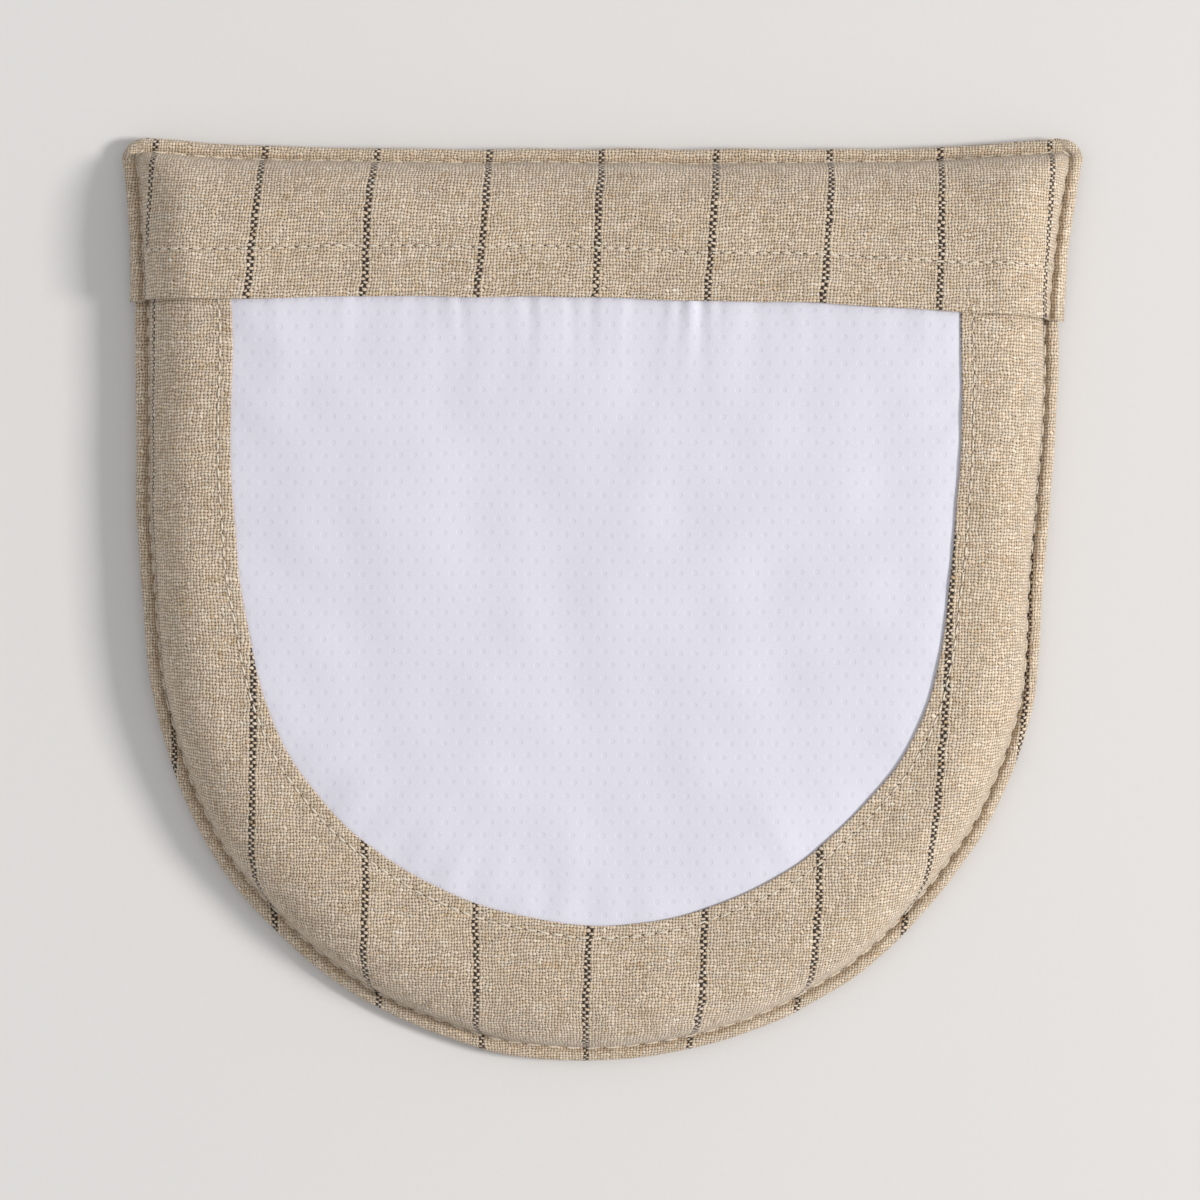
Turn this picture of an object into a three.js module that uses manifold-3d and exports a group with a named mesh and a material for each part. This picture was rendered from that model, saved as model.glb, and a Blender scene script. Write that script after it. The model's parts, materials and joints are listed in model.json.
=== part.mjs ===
// Pocket oven mitt with an envelope cuff, lying flat on its back.
//
// A padded back and a padded front are sewn together round a U-shaped edge, and a cuff folds over the mouth
// between them. The front is a linen frame round a white heat-resistant window. A hand lifts the cuff and the
// top of the front pad, and goes in towards the round end.
//
// Frame: millimetres, +Z up, the round end towards -Y, the cuff towards +Y. The origin is under the middle of
// the mitt, on the surface that it lies on. Cloth layers lie one on another with a small gap between them.
import * as THREE from "three";
import { mergeVertices } from "three/addons/utils/BufferGeometryUtils.js";
import Module from "manifold-3d";

const wasm = await Module();
wasm.setup();

// Outline
const length = 210; // from the tip of the round end to the cuff's corners
const endRadius = 102.3; // round end
const sideFlare = 4.2; // how much wider each side is at the cuff than at the round end
const lean = 2.6; // the round end lies this far to the left of the cuff's middle
const earReach = 1.9; // the cuff's corners stand out past the sides
const earFade = 7; // how quickly they fade into the sides
const earRise = 2.5; // and they stand above the middle of the top edge
const earSpread = 22; // how quickly they fade into the top edge
const earRadius = 5;

// Cuff and mouth
const cuffStep = 1; // the cuff's sides stand out past the pads' sides
const cuffDepth = 36; // from the top edge to the hem at its crest
const hemTurn = 11.8; // depth of the hem that is turned under
const hemSag = 2.1; // the hem drops by this much at 100 mm from its crest
const hemCrest = -45;
const cuffOverlap = 12; // how far the cuff covers the front pad

// Window
const border = 20; // width of the frame at both sides of the round end
const borderAtTip = 31;
const windowLean = 0.35; // the window leans by this much less than the pads, as a share of their lean

// Cloth, wadding and thread
const shellThick = 0.7;
const panelThick = 0.5;
const wadding = 3;
const pocketRoom = 5.2; // height of the pocket when the mitt lies flat
const threadWide = 0.7;
const threadThick = 0.4;
const layerGap = 0.3;

// Edge and shoulders
const flange = 3.6; // width of the flat sewn edge
const flangeBase = 2; // height of the sewn edge over the table
const frontShoulder = 11.5; // from the seam to where the front pad is level
const backShoulder = 10;
const edgeStitchInset = 3; // from the outer edge to the middle of the stitching
const windowStitchInset = 2.8; // from the window's edge
const mouthStitchInset = 5; // from the front pad's top edge
const stitchToHem = 1; // the frame's stitching starts this far below the hem

// Heights where the pads are level, from the table up
const softRoom = 2 * wadding + pocketRoom; // what thins down to nothing at the seam
const liningRoom = 2 * (panelThick + layerGap); // what doesn't
const panelRoom = panelThick + 2 * layerGap;
const frameLow = shellThick + layerGap + softRoom + liningRoom + panelRoom;
const windowLow = frameLow - layerGap - panelThick;
const frameEdgeLow = flangeBase + shellThick + layerGap; // the frame's at the seam
const cuffEdgeLift = 2 * shellThick + layerGap; // from the frame's lower face to the cuff's above its hem
const cuffLow = frameLow + cuffEdgeLift;

// Where the pads are level, inwards from the edge
const level = flange + frontShoulder;

// Places along the mitt
const top = length / 2;
const earY = top - earRadius;
const endY = endRadius - length / 2;
const hemY = top - cuffDepth;
const mouthY = hemY + cuffOverlap;
const windowRadius = endRadius - border;
const windowX = -lean * (1 - windowLean);
const windowY = borderAtTip + windowRadius - length / 2;
// The panel runs under the frame as far as the frame is level.
const windowMargin = border - lean * windowLean - level - layerGap;

// Steps along each stretch of the outline
const steps = { side: 8, end: 28, ear: 4, top: 12 };
// Insets from the edge at which the curved layers are sampled
const shoulderSteps = [0, 0.07, 0.16, 0.3, 0.5, 0.73, 1];
const rings = [0, ...shoulderSteps.map((share) => flange + share * frontShoulder)];
const liningRings = rings.slice(3);
const waddingRings = rings.slice(4);

const linen = { color: 0xc9b592, roughness: 0.92, metalness: 0 };
const satin = { color: 0xe9e8f0, roughness: 0.5, metalness: 0 };
const cotton = { color: 0xe6e1d6, roughness: 0.9, metalness: 0 };
const fill = { color: 0xf1efe8, roughness: 1, metalness: 0 };
const thread = { color: 0xe4dac4, roughness: 0.7, metalness: 0 };

const mitt = new THREE.Group();

function add(name, geometry, look, z = 0) {
  const mesh = new THREE.Mesh(geometry, new THREE.MeshStandardMaterial(look));
  mesh.name = name;
  mesh.position.z = z;
  mitt.add(mesh);
}

// 0 at the seam, 1 where the pad is level
const shoulder = (inset, width) =>
  Math.sin((Math.PI / 2) * THREE.MathUtils.clamp((inset - flange) / width, 0, 1));

const span = (count, place) => Array.from({ length: count + 1 }, (_, i) => place(i / count));

// The x of the left (-1) or right (1) side at a height y, moved inwards by inset
function sideX(hand, y, inset) {
  const along = THREE.MathUtils.clamp((y - endY) / (earY - endY), 0, 1);
  const half =
    endRadius + sideFlare * Math.sin((along * Math.PI) / 2) + earReach * Math.exp((y - earY) / earFade);
  return hand * (half - inset) - lean * (1 - along);
}

const side = (hand, fromY, toY, inset) =>
  span(steps.side, (t) => {
    const y = THREE.MathUtils.lerp(fromY, toY, t);
    return new THREE.Vector2(sideX(hand, y, inset), y);
  });

const arc = (x, y, radius, from, to, count) =>
  span(count, (t) => {
    const angle = THREE.MathUtils.lerp(from, to, t);
    return new THREE.Vector2(x + radius * Math.cos(angle), y + radius * Math.sin(angle));
  });

// From the left side at fromY, down round the end and up the right side
function padPath(inset, fromY) {
  const end = arc(-lean, endY, endRadius - inset, Math.PI, 2 * Math.PI, steps.end);
  return [...side(-1, fromY, endY, inset).slice(0, -1), ...end, ...side(1, endY, fromY, inset).slice(1)];
}

// From the right ear along the top edge to the left ear
function topPath(inset, step) {
  const radius = Math.max(earRadius - inset, 0.6);
  const outer = sideX(1, earY, inset - step);
  const y = top - inset - radius;
  const reach = outer - radius;
  const edge = span(steps.top, (t) => {
    const x = reach * Math.cos(Math.PI * t);
    const dip = earRise * (1 - Math.exp((Math.abs(x) - reach) / earSpread));
    return new THREE.Vector2(x, top - inset - dip);
  });
  return [
    ...arc(reach, y, radius, 0, Math.PI / 2, steps.ear).slice(0, -1),
    ...edge,
    ...arc(-reach, y, radius, Math.PI / 2, Math.PI, steps.ear).slice(1),
  ];
}

// The whole outline, anticlockwise
const outline = (inset) => [...padPath(inset, earY).slice(1, -1), ...topPath(inset, 0)];

// From the hem's right end up, along the top and down to its left end
const cuffPath = (inset, fromY) => [
  ...side(1, fromY, earY, inset - cuffStep).slice(0, -1),
  ...topPath(inset, cuffStep),
  ...side(-1, earY, fromY, inset - cuffStep).slice(1),
];

// The window's edge, moved outwards by margin
function windowPath(margin, fromY) {
  const radius = windowRadius + margin;
  const line = (x, fromLineY, toLineY) =>
    span(steps.side, (t) => new THREE.Vector2(x, THREE.MathUtils.lerp(fromLineY, toLineY, t)));
  const end = arc(windowX, windowY, radius, Math.PI, 2 * Math.PI, steps.end);
  return [
    ...line(windowX - radius, fromY, windowY).slice(0, -1),
    ...end,
    ...line(windowX + radius, windowY, fromY).slice(1),
  ];
}

const hemLine = (x) => hemY - hemSag * ((x - hemCrest) / 100) ** 2;

// A flat piece of that outline
const flat = (points, depth, holes = []) => {
  const shape = new THREE.Shape(points);
  shape.holes = holes.map((hole) => new THREE.Path(hole));
  return new THREE.ExtrudeGeometry(shape, { depth, bevelEnabled: false });
};

// A line of thread between two paths
const seam = (outer, inner) => flat([...outer, ...inner.reverse()], threadThick);

// A lathe whose rings follow the mitt's outline. The profile runs from the middle of the underside out to the
// edge and back to the middle of the top, as pairs of inset and height. An inset of null is the middle.
function domed(profile) {
  const places = profile.map(([inset]) => (inset === null ? null : outline(inset)));
  const count = outline(0).length;
  const radii = profile.map(([inset, z]) => new THREE.Vector2(inset === null ? 0 : 1, z));
  const geometry = new THREE.LatheGeometry(radii, count);
  const position = geometry.getAttribute("position");
  for (let i = 0; i <= count; i++)
    for (let j = 0; j < profile.length; j++) {
      const at = places[j] ? places[j][i % count] : new THREE.Vector2(-lean / 2, 0);
      position.setXYZ(i * profile.length + j, at.x, at.y, profile[j][1]);
    }
  return geometry;
}

// A slab whose grid points are placed one by one: i runs along it, j across it to the left, and face is 0 on
// its lower face and 1 on its upper face.
function draped(along, across, place) {
  const geometry = new THREE.BoxGeometry(1, 1, 1, along, across, 1);
  const position = geometry.getAttribute("position");
  for (let n = 0; n < position.count; n++) {
    const i = Math.round((position.getX(n) + 0.5) * along);
    const j = Math.round((position.getY(n) + 0.5) * across);
    const at = place(i, j, Math.round(position.getZ(n) + 0.5));
    position.setXYZ(n, at.x, at.y, at.z);
  }
  return geometry;
}

// Underside of the back shell: level in the middle, lifted to the sewn edge
const backFace = (inset) => flangeBase * (1 - shoulder(inset, backShoulder));
// Lower face of the front frame: down at the sewn edge, level over the front pad
const frontFace = (inset) =>
  THREE.MathUtils.lerp(frameEdgeLow, frameLow, shoulder(inset, frontShoulder));

// Where the layers between those two lie: the soft ones share the room that the linings leave
function layers(inset) {
  const low = backFace(inset) + shellThick + layerGap;
  const share = (frontFace(inset) - panelRoom - low - liningRoom) / softRoom;
  const backLining = low + share * wadding + layerGap;
  const frontLining = backLining + panelThick + share * pocketRoom;
  const frontWadding = frontLining + panelThick + layerGap;
  return { backWadding: low, backLining, frontLining, frontWadding, wadding: share * wadding };
}

// A closed layer from the outermost of some insets inwards, between two faces given by inset
function layer(insets, low, high) {
  const under = insets.map((inset) => [inset, low(inset)]).reverse();
  const over = insets.map((inset) => [inset, high(inset)]);
  const inner = insets[insets.length - 1];
  return domed([[null, low(inner)], ...under, ...over, [null, high(inner)]]);
}

// The part of a closed layer below the front pad's top edge
function belowMouth(geometry) {
  geometry.deleteAttribute("normal");
  geometry.deleteAttribute("uv");
  const merged = mergeVertices(geometry);
  const solid = new wasm.Manifold(
    new wasm.Mesh({
      numProp: 3,
      vertProperties: merged.getAttribute("position").array,
      triVerts: Uint32Array.from(merged.index.array),
    }),
  );
  const mesh = solid.trimByPlane([0, -1, 0], -mouthY).getMesh();
  const cut = new THREE.BufferGeometry();
  cut.setAttribute("position", new THREE.BufferAttribute(mesh.vertProperties, 3));
  cut.setIndex(new THREE.BufferAttribute(mesh.triVerts, 1));
  cut.computeVertexNormals();
  return cut;
}

function addBack() {
  add("back_shell", layer(rings, backFace, (d) => backFace(d) + shellThick), linen);
  const waddingTop = (d) => layers(d).backWadding + layers(d).wadding;
  add("back_batting", layer(waddingRings, (d) => layers(d).backWadding, waddingTop), fill);
  const liningTop = (d) => layers(d).backLining + panelThick;
  add("back_lining", layer(liningRings, (d) => layers(d).backLining, liningTop), cotton);

  const half = threadWide / 2;
  const ring = flat(outline(edgeStitchInset - half), threadThick, [outline(edgeStitchInset + half)]);
  add("back_edge_stitching", ring, thread, flangeBase - layerGap - threadThick);
}

function addFront() {
  const paths = [...rings.map((inset) => padPath(inset, mouthY)), windowPath(0, mouthY)];
  const faces = [...rings.map(frontFace), frameLow];
  const frame = draped(paths[0].length - 1, paths.length - 1, (i, j, face) => {
    const at = paths[j][i];
    return new THREE.Vector3(at.x, at.y, faces[j] + face * shellThick);
  });
  add("front_frame", frame, linen);

  add("window_panel", flat(windowPath(windowMargin, mouthY), panelThick), satin, windowLow);
  const waddingTop = (d) => layers(d).frontWadding + layers(d).wadding;
  const wadded = layer(waddingRings, (d) => layers(d).frontWadding, waddingTop);
  add("front_batting", belowMouth(wadded), fill);
  const liningTop = (d) => layers(d).frontLining + panelThick;
  add("front_lining", belowMouth(layer(liningRings, (d) => layers(d).frontLining, liningTop)), cotton);

  const half = threadWide / 2;
  const stitchTop = Math.min(...[-1, 1].map((hand) => hemLine(sideX(hand, hemY, 0)))) - stitchToHem;
  const edgeSeam = seam(
    padPath(edgeStitchInset - half, stitchTop),
    padPath(edgeStitchInset + half, stitchTop),
  );
  add("frame_edge_stitching", edgeSeam, thread, frameEdgeLow + shellThick + layerGap);

  const windowSeam = seam(
    windowPath(windowStitchInset + half, stitchTop),
    windowPath(windowStitchInset - half, stitchTop),
  );
  add("window_stitching", windowSeam, thread, frameLow + shellThick + layerGap);

  const reach = windowRadius - layerGap * 2;
  const mouthSeam = new THREE.BoxGeometry(2 * reach, threadWide, threadThick);
  mouthSeam.translate(windowX, mouthY - mouthStitchInset, threadThick / 2);
  add("mouth_stitching", mouthSeam, thread, windowLow + panelThick + layerGap);
}

const cuffShares = [-0.6, -0.3, 0, 0.3, 0.6]; // places across the level middle
const cuffColumns = 2 * rings.length + cuffShares.length - 1;
// Rows of the cuff from the hem up: the turned hem, the end of the front pad, then insets from the top edge
const hemRows = [0, hemTurn - 0.6, hemTurn];
const topInsets = [level, ...rings.slice(1, -1).reverse(), 0];
const cuffRowCount = hemRows.length + 1 + topInsets.length;

// The cuff's flat sewn edge comes down past the end of the front pad, to lie on the back's.
const rampFrom = mouthY + 2;
const rampTo = top - level;
const cuffEdgeLow = (y) =>
  frameEdgeLow + cuffEdgeLift * (1 - THREE.MathUtils.smoothstep(y, rampFrom, rampTo));

// Column i of the cuff at a height y: its x, and how far that is inside the side edge
function cuffColumn(i, y) {
  const last = rings.length - 1;
  const fromRight = cuffColumns - i;
  if (i <= last) return { x: sideX(-1, y, rings[i] - cuffStep), inset: rings[i] };
  if (fromRight <= last) return { x: sideX(1, y, rings[fromRight] - cuffStep), inset: rings[fromRight] };
  return { x: cuffShares[i - last - 1] * sideX(1, y, level), inset: level };
}

// How far the top edge dips below the corners at x, and how far the corner's rounding cuts in
function topEdge(x) {
  const corner = sideX(1, earY, -cuffStep);
  const dip = earRise * (1 - Math.exp((Math.abs(x) - corner) / earSpread));
  const round = Math.max(0, earRadius - (corner - Math.abs(x)));
  const cut = earRadius - Math.sqrt(Math.max(0, earRadius ** 2 - round ** 2));
  return { dip, cut };
}

function cuffPoint(i, j, face) {
  const guess = cuffColumn(i, earY).x;
  const hem = hemLine(guess);
  const topInset = topInsets[j - hemRows.length - 1] ?? level;
  const { dip, cut } = topEdge(guess);
  const edge = top - topInset - dip - cut * (1 - topInset / level);
  const y = hemRows[j] === undefined ? (j === hemRows.length ? rampFrom : edge) : hem + hemRows[j];
  const { x, inset } = cuffColumn(i, Math.min(y, earY));
  const rise = shoulder(inset, frontShoulder) * shoulder(topInset, frontShoulder);
  const low = THREE.MathUtils.lerp(cuffEdgeLow(y), cuffLow, rise);
  const turned = j < hemRows.length - 1 ? shellThick : 0;
  return new THREE.Vector3(x, y, face ? low + shellThick : low - turned);
}

function addCuff() {
  add("cuff_band", draped(cuffColumns, cuffRowCount - 1, cuffPoint), linen);

  const half = threadWide / 2;
  const fromY = hemY - hemSag;
  const paths = [edgeStitchInset - half, edgeStitchInset + half].map((d) => cuffPath(d, fromY));
  const edgeSeam = draped(paths[0].length - 1, 1, (i, j, face) => {
    const { x, y } = paths[j][i];
    return new THREE.Vector3(x, y, cuffEdgeLow(y) + shellThick + layerGap + face * threadThick);
  });
  add("cuff_edge_stitching", edgeSeam, thread);

  // This one runs over both shoulders, between the two ends of the edge stitching.
  const ends = 2;
  const hemSeam = draped(cuffColumns - 2 * ends, 1, (i, j, face) => {
    const at = cuffPoint(i + ends, 1, 1);
    return new THREE.Vector3(at.x, at.y + (j ? 0 : -threadWide), at.z + layerGap + face * threadThick);
  });
  add("cuff_hem_stitching", hemSeam, thread);
}

addBack();
addFront();
addCuff();

export default mitt;
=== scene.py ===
import json
import math
import bmesh
import bpy
import numpy as np
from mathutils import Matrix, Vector

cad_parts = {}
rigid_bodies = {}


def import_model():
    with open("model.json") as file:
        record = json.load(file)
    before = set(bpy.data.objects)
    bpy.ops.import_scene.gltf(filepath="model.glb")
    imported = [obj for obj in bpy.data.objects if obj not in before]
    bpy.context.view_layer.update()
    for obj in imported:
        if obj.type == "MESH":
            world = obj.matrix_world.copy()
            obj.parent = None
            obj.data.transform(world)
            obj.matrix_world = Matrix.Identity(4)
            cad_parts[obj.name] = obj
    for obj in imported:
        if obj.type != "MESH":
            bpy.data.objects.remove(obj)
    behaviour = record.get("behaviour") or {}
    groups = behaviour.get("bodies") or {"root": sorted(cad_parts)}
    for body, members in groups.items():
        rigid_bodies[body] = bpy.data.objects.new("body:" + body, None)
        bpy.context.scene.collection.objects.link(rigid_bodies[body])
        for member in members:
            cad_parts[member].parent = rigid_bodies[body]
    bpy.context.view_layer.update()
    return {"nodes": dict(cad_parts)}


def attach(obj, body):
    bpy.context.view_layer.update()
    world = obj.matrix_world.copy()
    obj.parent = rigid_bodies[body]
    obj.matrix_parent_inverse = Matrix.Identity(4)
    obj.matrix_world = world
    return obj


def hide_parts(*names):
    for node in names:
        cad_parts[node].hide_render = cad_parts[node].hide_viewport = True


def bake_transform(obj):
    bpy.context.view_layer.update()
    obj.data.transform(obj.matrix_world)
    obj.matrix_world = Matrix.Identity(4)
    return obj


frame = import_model()
mm = 0.001
print("frame loaded:", ", ".join(sorted(frame["nodes"])))

for thing in list(bpy.data.objects):
    if thing.type in ("CAMERA", "LIGHT"):
        bpy.data.objects.remove(thing)


# outline, in millimetres, as the frame's solids have it
outline = {
    "length": 210.0,
    "endRadius": 102.3,  # round end
    "sideFlare": 4.2,
    "lean": 2.6,  # the round end lies this far left
    "earReach": 1.9,
    "earFade": 7.0,
    "earRise": 2.5,
    "earSpread": 22.0,
    "earRadius": 5.0,
    "cuffStep": 1.0,
    "cuffDepth": 36.8,
    "hemTurn": 11.8,
    "hemSag": 2.1,
    "hemCrest": -45.0,
    "cuffOverlap": 12.8,
    "border": 20.0,
    "borderAtTip": 31.9,
    "windowLean": 0.35,
    "windowTuck": 2.6,  # the window is this much narrower, on each side, where its round end begins
    "rightTuck": 1.5,  # and so is the mitt on its right side, below the cuff
    "flange": 3.6,
    "frontShoulder": 11.5,
    "backShoulder": 10.0,
    "edgeStitch": 3.1,  # from the edge to the stitching
    "windowStitch": 2.8,
    "seamZ": 2.85,  # height of the seam round the edge
    "padZ": 15.3,  # top of the border where the pad is level
}
o = outline
top = o["length"] / 2
earY = top - o["earRadius"]
endY = o["endRadius"] - top
hemY = top - o["cuffDepth"]
mouthY = hemY + o["cuffOverlap"]
level = o["flange"] + o["frontShoulder"]
windowRadius = o["endRadius"] - o["border"]
windowX = -o["lean"] * (1 - o["windowLean"])
windowY = o["borderAtTip"] + windowRadius - top


def smooth(x, low, high):
    t = np.clip((np.asarray(x, float) - low) / (high - low), 0, 1)
    return t * t * (3 - 2 * t)


def bump(x, middle, width):
    return np.exp(-(((np.asarray(x, float) - middle) / width) ** 2))


def sideX(hand, y, inset=0.0):
    y = np.asarray(y, float)
    along = np.clip((y - endY) / (earY - endY), 0, 1)
    half = (
        o["endRadius"]
        + o["sideFlare"] * np.sin(along * math.pi / 2)
        + o["earReach"] * np.exp((np.minimum(y, earY) - earY) / o["earFade"])
    )
    if hand > 0:
        half = half - o["rightTuck"] * bump(y, 68, 20)
    return hand * (half - inset) - o["lean"] * (1 - along)


def hemLine(x):
    return hemY - o["hemSag"] * ((x - o["hemCrest"]) / 100) ** 2


# left side down, round the end, right side up
def padLine(inset, fromY, sides, ends):
    down = np.linspace(fromY, endY, sides, endpoint=False)
    angle = np.linspace(math.pi, 2 * math.pi, ends)
    radius = o["endRadius"] - inset
    left = np.stack([sideX(-1, down, inset), down], 1)
    end = np.stack([-o["lean"] + radius * np.cos(angle), endY + radius * np.sin(angle)], 1)
    right = np.stack([sideX(1, down[::-1], inset), down[::-1]], 1)
    return np.vstack([left, end, right])


def windowTuck(y):
    return o["windowTuck"] * bump(y, -3, 24)


def windowLine(margin, fromY, sides, ends):
    down = np.linspace(fromY, windowY, sides, endpoint=False)
    angle = np.linspace(math.pi, 2 * math.pi, ends)
    radius = windowRadius + margin
    left = np.stack([np.full(sides, windowX - radius), down], 1)
    end = np.stack([windowX + radius * np.cos(angle), windowY + radius * np.sin(angle)], 1)
    right = np.stack([np.full(sides, windowX + radius), down[::-1]], 1)
    line = np.vstack([left, end, right])
    line[:, 0] -= np.sign(line[:, 0] - windowX) * windowTuck(line[:, 1])
    return line


# how far a place is inside the U-shaped edge
def insetOf(x, y):
    round_ = o["endRadius"] - np.hypot(x + o["lean"], y - endY)
    side = np.minimum(sideX(1, y) - x, x - sideX(-1, y))
    return np.where(y < endY, round_, side)


# how far a place is inside the window's edge
def windowInsetOf(x, y):
    across = np.abs(x - windowX) + windowTuck(y)
    round_ = windowRadius - np.hypot(across, y - windowY)
    side = windowRadius - across
    return np.where(y < windowY, round_, side)


def lengths(line):
    return np.concatenate([[0], np.cumsum(np.hypot(*np.diff(line, axis=0).T))])


# how the cloth lies, in millimetres
cloth = {
    "crown": 1.3,  # how far the padding lifts the middle
    "crownFrom": 6.0,  # where that begins, from the edge
    "crownReach": 26.0,
    "flangePuff": 0.45,
    "groove": 0.75,
    "edgeRoll": 0.95,  # radius of the rolled edge
    "edgePitch": 4.5,  # stitch length round the edge
    "windowPitch": 3.0,
    "hemPitch": 2.5,
    "sway": 0.55,  # how far the outline strays
    "seed": 7,
}
edgeBetween = 0.25 * cloth["edgePitch"]  # a place that is neither a stitch nor a needle hole
windowBetween = 0.25 * cloth["windowPitch"]


# smooth and even unevenness, from -1 to 1
def waves(x, y, wavelength, seed, count=6):
    rng = np.random.RandomState(cloth["seed"] * 100 + seed)
    total = np.zeros(np.broadcast(x, y).shape)
    for _ in range(count):
        angle, phase = rng.uniform(0, 2 * math.pi, 2)
        k = 2 * math.pi / (wavelength * rng.uniform(0.75, 1.5))
        total = total + np.sin(k * (x * math.cos(angle) + y * math.sin(angle)) + phase)
    return total / math.sqrt(count) / 1.4


# uneven ripples along one direction, from -1 to 1
def ripples(along, wavelength, seed, count=5):
    rng = np.random.RandomState(cloth["seed"] * 100 + seed)
    total = np.zeros(np.shape(along))
    for _ in range(count):
        k = 2 * math.pi / (wavelength * rng.uniform(0.8, 1.35))
        total = total + np.sin(k * along + rng.uniform(0, 2 * math.pi))
    return total / math.sqrt(count) / 1.3


# the small strays that every layer shares
def sway(points):
    x, y, z = points[..., 0], points[..., 1], points[..., 2]
    lift = smooth(z, 0.2, 4.0)
    amount = cloth["sway"]
    moved = points.copy()
    moved[..., 0] += amount * (0.7 * waves(x, y, 62, 1) + 0.35 * waves(x, y, 21, 2))
    moved[..., 1] += amount * (0.7 * waves(x, y, 58, 3) + 0.35 * waves(x, y, 19, 4))
    moved[..., 2] += lift * (0.30 * waves(x, y, 48, 5) + 0.14 * waves(x, y, 17, 6))
    return moved


# lift of the front from the padding under it
def padding(x, y):
    inside = np.clip(insetOf(x, np.minimum(y, hemY)), 0, None)
    return cloth["crown"] * (1 - np.exp(-np.clip(inside - cloth["crownFrom"], 0, None) / cloth["crownReach"]))


# height of the rolled edge over its seam
def roll(inset):
    radius = cloth["edgeRoll"]
    return np.sqrt(np.clip(radius**2 - np.clip(radius - inset, 0, radius) ** 2, 0, None))


# height of the sewn edge over its seam, with the groove and its stitches
def flangeShape(inset, along, pitch):
    stitch = 0.85 + 0.15 * np.cos(2 * math.pi * along / pitch)
    puff = cloth["flangePuff"] * bump(inset, 1.7, 0.9)
    return roll(inset) + puff - cloth["groove"] * bump(inset, o["edgeStitch"], 0.55) * stitch


def shoulderShape(inset, width):
    t = np.clip(inset - o["edgeStitch"] - 0.2, 0, None)
    steep = (1 - np.exp(-t / 0.9)) / (1 - math.exp(-width * 1.1 / 0.9))
    return np.clip(0.48 * steep + 0.52 * np.sin(np.clip(t / width / 1.1, 0, 1) * math.pi / 2), 0, 1)


# how the padded front settles: it swells a little, and its cloth is a little too big for its seams
settling = {
    "step": 2.0,  # mm between the points of the trial cloth
    "extra": 0.010,  # how much bigger the cloth is than its place
    "pressure": 3.0,
    "bend": 5.0,
    "frames": 16,
    "share": 0.30,  # how much of the trial's creases is kept
    "most": 0.32,  # mm that the creases may rise or sink
}


# the four corners of every square of a lattice of numbers
def squares(number):
    corners = [number[:-1, :-1], number[:-1, 1:], number[1:, 1:], number[1:, :-1]]
    return np.stack(corners, -1).reshape(-1, 4)


def trialCloth(xs, ys):
    gx, gy = np.meshgrid(xs, ys)
    inset = insetOf(gx, gy)
    used = inset > 0
    number = np.full(gx.shape, -1)
    number[used] = np.arange(used.sum())
    rise = o["padZ"] - o["seamZ"] - cloth["edgeRoll"]
    z = o["seamZ"] + rise * np.sin(np.clip((inset - 3.3) / o["frontShoulder"], 0, 1) * math.pi / 2)
    z = z + padding(gx, gy) + 0.05 * waves(gx, gy, 9, 61)
    points = np.stack([gx, gy, z], -1)[used]
    corners = squares(number)
    mesh = bpy.data.meshes.new("trialCloth")
    mesh.from_pydata([tuple(q) for q in points * mm], [], corners[(corners >= 0).all(1)].tolist())
    trial = bpy.data.objects.new("trialCloth", mesh)
    bpy.context.scene.collection.objects.link(trial)
    held = np.maximum(1 - smooth(inset, 3.0, 5.5), smooth(gy, hemLine(gx) - 1.0, hemLine(gx) + 3.0))
    held = np.maximum(held, 0.8 * bump(-windowInsetOf(gx, gy), o["windowStitch"], 1.6))[used]
    group = trial.vertex_groups.new(name="held")
    for k, weight in enumerate(held):
        group.add([k], float(weight), "REPLACE")
    return trial, points, used


# runs the cloth and keeps its creases, without the swelling, as a height at each place of a lattice
def settleFront(xs, ys):
    creases = np.zeros((len(ys), len(xs)))
    trial, points, used = trialCloth(xs, ys)
    run = trial.modifiers.new("settling", "CLOTH")
    s = run.settings
    s.quality, s.mass, s.air_damping = 6, 0.05, 4
    s.tension_stiffness = s.compression_stiffness = 12
    s.shear_stiffness, s.bending_stiffness = 8, settling["bend"]
    s.vertex_group_mass, s.pin_stiffness = "held", 1.0
    s.shrink_min = -settling["extra"]
    s.use_pressure, s.uniform_pressure_force = True, settling["pressure"]
    s.effector_weights.gravity = 0
    run.point_cache.frame_start, run.point_cache.frame_end = 1, settling["frames"]
    for number in range(1, settling["frames"] + 1):
        bpy.context.scene.frame_set(number)
    after = np.empty(len(points) * 3, np.float32)
    graph = bpy.context.evaluated_depsgraph_get()
    trial.evaluated_get(graph).data.vertices.foreach_get("co", after)
    bpy.context.scene.frame_set(1)
    creases[used] = after.reshape(-1, 3)[:, 2] / mm - points[:, 2]
    mesh = trial.data
    bpy.data.objects.remove(trial)
    bpy.data.meshes.remove(mesh)
    low = soften(creases, 4) / np.maximum(soften(used.astype(float), 4), 0.01)
    creases = soften((creases - low) * used, 1)
    return np.clip(creases * settling["share"], -settling["most"], settling["most"])


# spreads a lattice of heights over its neighbours
def soften(field, reach):
    for axis in (0, 1, 0, 1):
        shifted = [np.roll(field, k, axis) for k in range(-reach, reach + 1)]
        field = sum(shifted) / len(shifted)
    return field


latticeX = np.arange(-120, 121, settling["step"])
latticeY = np.arange(-118, mouthY + 9, settling["step"])
frontCreases = settleFront(latticeX, latticeY)
print("front settled: creases from", frontCreases.min().round(2), "to", frontCreases.max().round(2), "mm")


# shares of the four nearest points of a lattice, for a height that is round over them
def roundShares(t):
    before = (1 - t) ** 3 / 6
    near = (3 * t**3 - 6 * t**2 + 4) / 6
    following = (-3 * t**3 + 3 * t**2 + 3 * t + 1) / 6
    return before, near, following, t**3 / 6


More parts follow.
